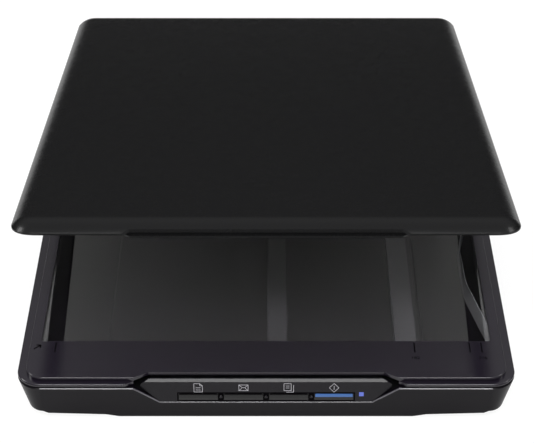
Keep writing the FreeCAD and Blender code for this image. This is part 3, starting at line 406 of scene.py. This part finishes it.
# Ribbon. A flat flexible cable, grey film over side-by-side copper strips,
# stands on edge along the right wall and joins the carriage to the board.
STRIP_PITCH = 0.001
RIDGE_DEPTH = 0.00006
FILM_GREY = (0.11, 0.11, 0.12, 1)
RIDGE_GREY = (0.24, 0.24, 0.25, 1)


def ribbon_film(name):
    """Grey film with a fine ridge over each of the strips inside."""
    film = Finish(name)
    strip = film.axis("Z") / STRIP_PITCH % 1.0
    ridge = film.node("ShaderNodeMath", {"operation": "SINE"}, {0: strip * math.pi})
    film.surface(
        Base_Color=film.mixed(ridge, FILM_GREY, RIDGE_GREY),
        Roughness=0.38 + film.noise(0.01) * 0.1,
        Normal=film.bump(ridge, RIDGE_DEPTH, 0.7),
    )
    return film.owner


dress(ribbon_film("ribbon_film"), "ribbon_cable", "ribbon_tail")


# Carriage. A black glass-filled tray carries the sensor, its motor and gears
# along the rails; the gears and glide pads are natural white nylon.
dress(moulded("carriage_nylon", tone(30, 30, 32), 0.62, grain=0.0008, depth=0.00003),
      "carriage_frame")
dress(moulded("sensor_shell", tone(24, 24, 26), 0.45), "sensor_housing")
dress(moulded("gear_nylon", tone(226, 222, 210), 0.38, mottle=0.03), "reduction_gear",
      "motor_pinion", "glide_pads")


# Sensor optics. A clear cover glass over a rod lens and a moulded light guide
# lies along the top of the sensor, right under the document glass.
PANE_TINT = (0.78, 0.82, 0.83, 1)
BAR_TINT = (0.86, 0.90, 0.92, 1)


def clear(name, tint, rough, ior):
    """Clear plate or bar that also lets the lamps shine through."""
    pane = Finish(name)
    pane.surface(Base_Color=tint, Roughness=rough, IOR=ior, Transmission_Weight=1.0)
    shadow = pane.node("ShaderNodeLightPath", out="Is Shadow Ray")
    open_way = pane.node("ShaderNodeBsdfTransparent", None, {"Color": tint})
    join = pane.node("ShaderNodeMixShader", None, {0: shadow})
    solid = Sock(pane, pane.tree.nodes["Principled BSDF"].outputs[0])
    pane.feed(join.link.node, {1: solid, 2: open_way})
    pane.feed(pane.tree.nodes["Material Output"], {"Surface": join})
    return pane.owner


dress(clear("sensor_pane", PANE_TINT, 0.02, 1.5), "sensor_glass")
dress(clear("light_bar", BAR_TINT, 0.18, 1.49), "light_guide", "rod_lens")


# Frame. The upper half of the housing drops over the tray with a tongue, and
# its raised bezel holds the glass down. Its skin is smoother than the tray's.
BEZEL_BLACK = tone(24, 19, 30)
dress(moulded("frame_plastic", BEZEL_BLACK, 0.17, grain=0.0003, depth=0.000004, shine=0.6),
      "upper_frame")


# Edge line. The tray's front edge is eased where the frame and the button recess meet it. A thin
# light rod runs along it, down one side and up the other, as a painted highlight on that edge.
EDGE_RADIUS = 0.00042
EDGE_SUNK = 0.00030
EDGE_SIDES = 8
EDGE_TOP = 0.0240
EDGE_FOOT = 0.0129
FRONT_LEAN = 0.005 / 0.0204
EDGE_PATH = ((-0.1125, EDGE_TOP), (-0.0660, EDGE_TOP), (-0.0532, EDGE_FOOT),
             (0.0532, EDGE_FOOT), (0.0660, EDGE_TOP), (0.1125, EDGE_TOP))
edge_form = bmesh.new()
edge_points = [Vector((x, cad_low.y + FRONT_LEAN * (EDGE_TOP - z) + EDGE_SUNK, z - EDGE_SUNK))
               for x, z in EDGE_PATH]
for start, end in zip(edge_points, edge_points[1:]):
    run = end - start
    turn = run.to_track_quat("Z", "Y").to_matrix().to_4x4()
    flat_up = Matrix.Rotation(math.pi / EDGE_SIDES, 4, "Z")
    bmesh.ops.create_cone(edge_form, cap_ends=True, segments=EDGE_SIDES, radius1=EDGE_RADIUS,
                          radius2=EDGE_RADIUS, depth=run.length,
                          matrix=Matrix.Translation((start + end) / 2) @ turn @ flat_up)
# The rod's light grey is a painted highlight on the eased edge; its rounded facets also catch the
# lamp.
edge_highlight_skin = moulded("edge_painted_highlight", tone(92, 90, 96), 0.22, shine=1.0)
made(edge_form, "tray_edge_highlight", edge_highlight_skin, "base", smooth=20)


# Width marks. Three short lines at the right of the bezel show how wide common
# paper is, two of them with the width in millimetres. One at the left is zero.
BEZEL_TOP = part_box("upper_frame")[1].z
PRINT_THICK = 0.00006
MARK_START = -0.1068
PAPER_WIDTHS = (0.182, 0.210, 0.216)
MARK_WIDE = 0.0006
MARK_FRONT = cad_low.y + 0.0225
MARK_REAR = cad_low.y + 0.0300


def bar(form, low, high):
    """Adds a box between two corners."""
    low, high = Vector(low), Vector(high)
    shape = bmesh.ops.create_cube(form, size=1.0)
    bmesh.ops.scale(form, vec=high - low, verts=shape["verts"])
    bmesh.ops.translate(form, vec=(low + high) / 2, verts=shape["verts"])
    return shape["verts"]


mark_form = bmesh.new()
for width in (0.0,) + PAPER_WIDTHS:
    x = MARK_START + width
    bar(mark_form, (x - MARK_WIDE / 2, MARK_FRONT, BEZEL_TOP - PRINT_THICK),
        (x + MARK_WIDE / 2, MARK_REAR, BEZEL_TOP + PRINT_THICK))
# This dark print colour also serves the painted shadow round the keys.
print_and_shade_dark = moulded("print_and_slot_shade", tone(6, 5, 7), 0.8, shine=0.03)
made(mark_form, "width_marks", print_and_shade_dark, "base")

NUMBER_TALL = 0.0030
NUMBER_ROW = cad_low.y + 0.0180
NUMBER_CURVE = 3


def lettering(name, words, size, at):
    """Numbers printed on the bezel, made a mesh with their place in the mesh."""
    script = bpy.data.curves.new(name, "FONT")
    script.body = words
    script.size = size
    script.align_x = "CENTER"
    script.align_y = "CENTER"
    script.extrude = PRINT_THICK / 2
    script.resolution_u = NUMBER_CURVE
    holder = bpy.data.objects.new(name + "_curve", script)
    bpy.context.scene.collection.objects.link(holder)
    bpy.context.view_layer.update()
    flat = holder.evaluated_get(bpy.context.evaluated_depsgraph_get())
    mesh = bpy.data.meshes.new_from_object(flat)
    bpy.data.objects.remove(holder)
    form = bmesh.new()
    form.from_mesh(mesh)
    bmesh.ops.remove_doubles(form, verts=form.verts, dist=1e-7)
    bmesh.ops.translate(form, vec=at, verts=form.verts)
    made(form, name, print_and_shade_dark, "base")


for width in (PAPER_WIDTHS[0], PAPER_WIDTHS[2]):
    words = "%d" % round(width * 1000)
    lettering("width_number_" + words, words, NUMBER_TALL,
              (MARK_START + width, NUMBER_ROW, BEZEL_TOP))


# Corner arrow. A small arrow printed at the left of the bezel points to the
# corner of the glass where the paper is laid.
ARROW_AT = (-0.1145, cad_low.y + 0.0282)
ARROW_LONG = 0.0044
ARROW_BARB = 0.0022
ARROW_WIDE = 0.0007
arrow_form = bmesh.new()
for angle, length in ((45, ARROW_LONG), (0, ARROW_BARB), (90, ARROW_BARB)):
    shaft = bar(arrow_form, (-length, -ARROW_WIDE / 2, -PRINT_THICK),
                (0, ARROW_WIDE / 2, PRINT_THICK))
    bmesh.ops.rotate(arrow_form, verts=shaft, matrix=Matrix.Rotation(math.radians(angle), 3, "Z"))
bmesh.ops.translate(arrow_form, vec=(*ARROW_AT, BEZEL_TOP), verts=arrow_form.verts)
made(arrow_form, "corner_arrow", print_and_shade_dark, "base")


# Glass. A clear float-glass plate lies under the bezel, held by black tape,
# with a white strip under its front edge that the sensor reads to set itself.
GLASS_TINT = (0.88, 0.88, 0.885, 1)
dress(clear("scan_glass", GLASS_TINT, 0.0, 1.62), "document_glass")
dress(moulded("tape_black", tone(16, 16, 17), 0.7, grain=0.0006), "glass_tape")
dress(moulded("strip_white", tone(236, 236, 233), 0.6, mottle=0.02), "calibration_strip")


# Button panel. A sloping satin strip closes the recess in the front; the four
# keys pass through it, with small round lugs between them.
PANEL_FOOT = Vector((0, cad_low.y + 0.0025, 0.0136))
PANEL_LEAN = math.atan2(0.0014, 0.0127)
PANEL_BLACK = tone(12, 9, 16)
panel_skin = moulded("panel_plastic", PANEL_BLACK, 0.27, grain=0.0002, depth=0.000004,
                     shine=0.3)
dress(panel_skin, "button_panel")


def on_panel(form):
    """Stands shapes drawn flat, with Y up the panel and Z out of it, on its face."""
    upright = Matrix.Rotation(math.pi / 2 - PANEL_LEAN, 3, "X")
    bmesh.ops.rotate(form, verts=form.verts, matrix=upright)
    bmesh.ops.translate(form, verts=form.verts, vec=PANEL_FOOT)


KEY_PITCH = 0.0226
KEY_UP = 0.00275
KEY_X = [KEY_PITCH * (place - 1.5) for place in range(4)]
KEY_HALF = (0.0098, 0.00185)
KEY_CLEAR = 0.00016
SLOT_SHADE_WIDE = 0.0006
SLOT_SHADE_THICK = 0.00006
LUG_PROFILE = ((0, 0), (0.00085, 0), (0.00085, 0.0003), (0.0006, 0.0005), (0, 0.0005))
LUG_STEPS = 24
LAND_X = [KEY_PITCH * (place - 1) for place in range(3)]
# The key lands are a thin dark band round and between the key slots: a painted shadow of the gaps
# round the keys.
slot_half = Vector(KEY_HALF) + Vector((KEY_CLEAR, KEY_CLEAR))
shade_band_end = KEY_X[3] + slot_half.x + SLOT_SHADE_WIDE
slot_shade_form = bmesh.new()
lug_form = bmesh.new()
for side in (-1, 1):
    inner = KEY_UP + side * slot_half.y
    edge = sorted((inner, inner + side * SLOT_SHADE_WIDE))
    bar(slot_shade_form, (-shade_band_end, edge[0], -SLOT_SHADE_THICK), (shade_band_end, edge[1], SLOT_SHADE_THICK))
    inner = side * (KEY_X[3] + slot_half.x)
    edge = sorted((inner, inner + side * SLOT_SHADE_WIDE))
    bar(slot_shade_form, (edge[0], KEY_UP - slot_half.y, -SLOT_SHADE_THICK),
        (edge[1], KEY_UP + slot_half.y, SLOT_SHADE_THICK))
for x in LAND_X:
    half = KEY_PITCH / 2 - slot_half.x
    bar(slot_shade_form, (x - half, KEY_UP - slot_half.y, -SLOT_SHADE_THICK),
        (x + half, KEY_UP + slot_half.y, SLOT_SHADE_THICK))
    turned(lug_form, LUG_PROFILE, (x, KEY_UP, 0.0), LUG_STEPS)
on_panel(slot_shade_form)
on_panel(lug_form)
made(slot_shade_form, "key_slot_shade", print_and_shade_dark, "base")
made(lug_form, "key_lugs", panel_skin, "base")


# Icons. Thin grey symbols are printed above the keys: a sheet, an envelope,
# two sheets for a copy, and a diamond with a bar for start.
ICON_UP = 0.0081
ICON_LINE = 0.00022
ICON_RISE = 0.00004
ICON_GREY = tone(196, 194, 200)


def stroke(form, start, end):
    """One straight printed line between two points of the panel's plane."""
    start, end = Vector((*start, 0)), Vector((*end, 0))
    run = end - start
    half = ICON_LINE / 2
    line = bar(form, (-half, -half, -ICON_RISE), (run.length + half, half, ICON_RISE))
    turn = math.atan2(run.y, run.x)
    bmesh.ops.rotate(form, verts=line, matrix=Matrix.Rotation(turn, 3, "Z"))
    bmesh.ops.translate(form, verts=line, vec=start)


def drawn(form, points, x, closed=False):
    """A line through points that are given in millimetres from the icon's middle."""
    path = [(x + px / 1000, ICON_UP + py / 1000) for px, py in points]
    if closed:
        path.append(path[0])
    for start, end in zip(path, path[1:]):
        stroke(form, start, end)


# The icons' lines, in millimetres from each icon's middle.
SHEET = ((-2.1, -2.5), (2.1, -2.5), (2.1, 1.2), (0.8, 2.5), (-2.1, 2.5))
FOLD = ((0.8, 2.5), (0.8, 1.2), (2.1, 1.2))
ENVELOPE = ((-2.3, -1.7), (2.3, -1.7), (2.3, 1.7), (-2.3, 1.7))
FLAP = ((-2.3, 1.7), (-0.6, 0.1), (0.6, 0.1), (2.3, 1.7))
FLAP_LOW = ((-2.3, -1.7), (-0.9, -0.3))
COPY_FRONT = ((-2.4, -1.7), (1.2, -1.7), (1.2, 2.5), (-2.4, 2.5))
COPY_BACK = ((2.4, 1.5), (2.4, -2.6), (-1.1, -2.6))
DIAMOND = ((0, -2.6), (2.4, 0), (0, 2.6), (-2.4, 0))
icon_form = bmesh.new()
drawn(icon_form, SHEET, KEY_X[0], closed=True)
drawn(icon_form, FOLD, KEY_X[0])
for up in (-1.3, 0.0):
    drawn(icon_form, ((-1.1, up), (1.1, up)), KEY_X[0])
drawn(icon_form, ENVELOPE, KEY_X[1], closed=True)
drawn(icon_form, FLAP, KEY_X[1])
drawn(icon_form, FLAP_LOW, KEY_X[1])
drawn(icon_form, [(-px, py) for px, py in FLAP_LOW], KEY_X[1])
drawn(icon_form, COPY_FRONT, KEY_X[2], closed=True)
drawn(icon_form, COPY_BACK, KEY_X[2])
for up in (1.1, -0.1):
    drawn(icon_form, ((-1.4, up), (0.2, up)), KEY_X[2])
drawn(icon_form, DIAMOND, KEY_X[3], closed=True)
drawn(icon_form, ((0, -1.1), (0, 1.1)), KEY_X[3])
on_panel(icon_form)
icon_print = moulded("icon_print", ICON_GREY, 0.5, mottle=0.03)
made(icon_form, "panel_icons", icon_print, "base")


# Keys. Four crowned black caps stand just proud of the panel and press in on
# small switches; the start key has a blue strip let into its upper half.
KEY_BLACK = tone(5, 4, 6)
KEY_SKIRT = -0.0009
KEY_CROWN = 0.00034
KEY_EDGE = 0.00004
KEY_ROUND = 0.00028
KEY_STEPS = 10


def crowned(form, x, low, high, half_wide, lift):
    """A bar along the panel whose face follows the keys' crown between two heights."""
    def out(up):
        return KEY_EDGE + lift + KEY_CROWN * (1 - (up / KEY_HALF[1]) ** 2)

    ups = [low + (high - low) * step / KEY_STEPS for step in range(KEY_STEPS + 1)]
    section = [(low, KEY_SKIRT)] + [(up, out(up)) for up in ups] + [(high, KEY_SKIRT)]
    corners = [form.verts.new((x - half_wide, KEY_UP + up, z)) for up, z in section]
    end = form.faces.new(corners)
    pushed = bmesh.ops.extrude_face_region(form, geom=[end], use_keep_orig=True)["geom"]
    moved = [part for part in pushed if isinstance(part, bmesh.types.BMVert)]
    bmesh.ops.translate(form, verts=moved, vec=(half_wide * 2, 0, 0))
    ends = [edge for edge in form.edges if abs(edge.verts[0].co.x - edge.verts[1].co.x) < 1e-7
            and min(vert.co.z for vert in edge.verts) > KEY_SKIRT + 1e-6]
    bmesh.ops.bevel(form, geom=ends, offset=KEY_ROUND, affect="EDGES", segments=3, profile=0.5,
                    material=-1)


key_skin = moulded("key_plastic", KEY_BLACK, 0.19, grain=0.0002, depth=0.000002, shine=0.5)
for key, x in zip(("document", "mail", "copy", "start"), KEY_X):
    cap_form = bmesh.new()
    crowned(cap_form, x, -KEY_HALF[1], KEY_HALF[1], KEY_HALF[0], 0.0)
    on_panel(cap_form)
    cap = made(cap_form, "cap_" + key, key_skin, "button_" + key, smooth=50)
    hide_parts("button_" + key)

STRIP_FROM = 0.0001
STRIP_TO = KEY_HALF[1] - 0.00006
STRIP_HALF = KEY_HALF[0] - 0.0003
STRIP_PROUD = 0.00003
strip_blue = moulded("stripe_blue", tone(66, 104, 164), 0.3, mottle=0.03)
strip_form = bmesh.new()
crowned(strip_form, KEY_X[3], STRIP_FROM, STRIP_TO, STRIP_HALF, STRIP_PROUD)
on_panel(strip_form)
strip = made(strip_form, "start_strip", strip_blue, "button_start", smooth=50)
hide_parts("start_stripe")


# Light. A small clear blue window stands at the end of the panel, pressed in
# from behind; it glows while the power is on.
WINDOW_BLUE = tone(70, 84, 160)
GLOW_BLUE = tone(96, 110, 190)
GLOW_STRENGTH = 0.55
lamp_window = Finish("light_window")
lamp_window.surface(Base_Color=WINDOW_BLUE, Roughness=0.25, Emission_Color=GLOW_BLUE,
                    Emission_Strength=GLOW_STRENGTH)
dress(lamp_window.owner, "status_light")


# Hinges. Each post slides up out of a sleeve in the tray for a thick book, and
# a steel pin at its top carries the lid's arms. Posts and arms are dark plastic.
dress(moulded("hinge_plastic", tone(30, 29, 32), 0.42), "hinge_post_left", "hinge_post_right",
      "lid_arm_left", "lid_arm_right")


# Lid shell. A thin moulded cover in satin black, with a stepped finger lip in
# the middle of its front edge and a grey lining screwed in from below.
LID_BLACK = tone(15, 15, 16)
dress(moulded("lid_plastic", LID_BLACK, 0.27, grain=0.00035, depth=0.000003, shine=0.24,
              mottle=0.05), "lid_shell")
dress(moulded("lid_lining", tone(150, 150, 152), 0.5, mottle=0.04), "lid_inner_panel")


# Document mat. A sheet of open-cell foam with rounded edges is glued inside
# the lid, and a white plastic sheet on it presses the paper flat.
CELL_DENSITY = 1300.0
CELL_DEPTH = 0.0003
CELL_PIT_SHADE = (0.12, 0.12, 0.125, 1)
CELL_LIGHT = (0.42, 0.42, 0.43, 1)
FOAM_ROUND = 0.0009
PEBBLE_SIZE = 0.0009
PEBBLE_DEPTH = 0.00002


def foam(name):
    """Grey foam with small open cells, painted darker in their pits as painted shade."""
    sponge = Finish(name)
    cells = sponge.node("ShaderNodeTexVoronoi", None,
                        {"Vector": sponge.coordinates(), "Scale": CELL_DENSITY}, "Distance")
    sponge.surface(
        Base_Color=sponge.mixed(cells, CELL_PIT_SHADE, CELL_LIGHT),
        Roughness=0.95,
        Specular_IOR_Level=0.1,
        Normal=sponge.bump(cells, CELL_DEPTH, 0.8),
    )
    return sponge.owner


def sheet_plastic(name):
    """White sheet with a faint all-over pebble and a slight sheen."""
    sheet = Finish(name)
    pebble = sheet.noise(PEBBLE_SIZE, 2.0)
    sheet.surface(
        Base_Color=sheet.mixed(sheet.noise(0.09, 2.0), tone(228, 228, 226),
                               tone(238, 238, 236)),
        Roughness=0.42 + (pebble - 0.5) * 0.1,
        Normal=sheet.bump(pebble, PEBBLE_DEPTH, 0.5),
    )
    return sheet.owner


foam_form = bmesh.new()
foam_form.from_mesh(nodes["foam_pad"].data)
bmesh.ops.remove_doubles(foam_form, verts=foam_form.verts, dist=1e-6)
bmesh.ops.dissolve_limit(foam_form, angle_limit=math.radians(1), verts=foam_form.verts,
                         edges=foam_form.edges)
foam_edges = [edge for edge in foam_form.edges if len(edge.link_faces) == 2]
bmesh.ops.bevel(foam_form, geom=foam_edges, offset=FOAM_ROUND, affect="EDGES", segments=3,
                profile=0.5, material=-1, clamp_overlap=True)
foam_pad = made(foam_form, "mat_foam", foam("foam_cells"), "lid", smooth=60)
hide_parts("foam_pad")
dress(sheet_plastic("mat_sheet"), "white_mat")
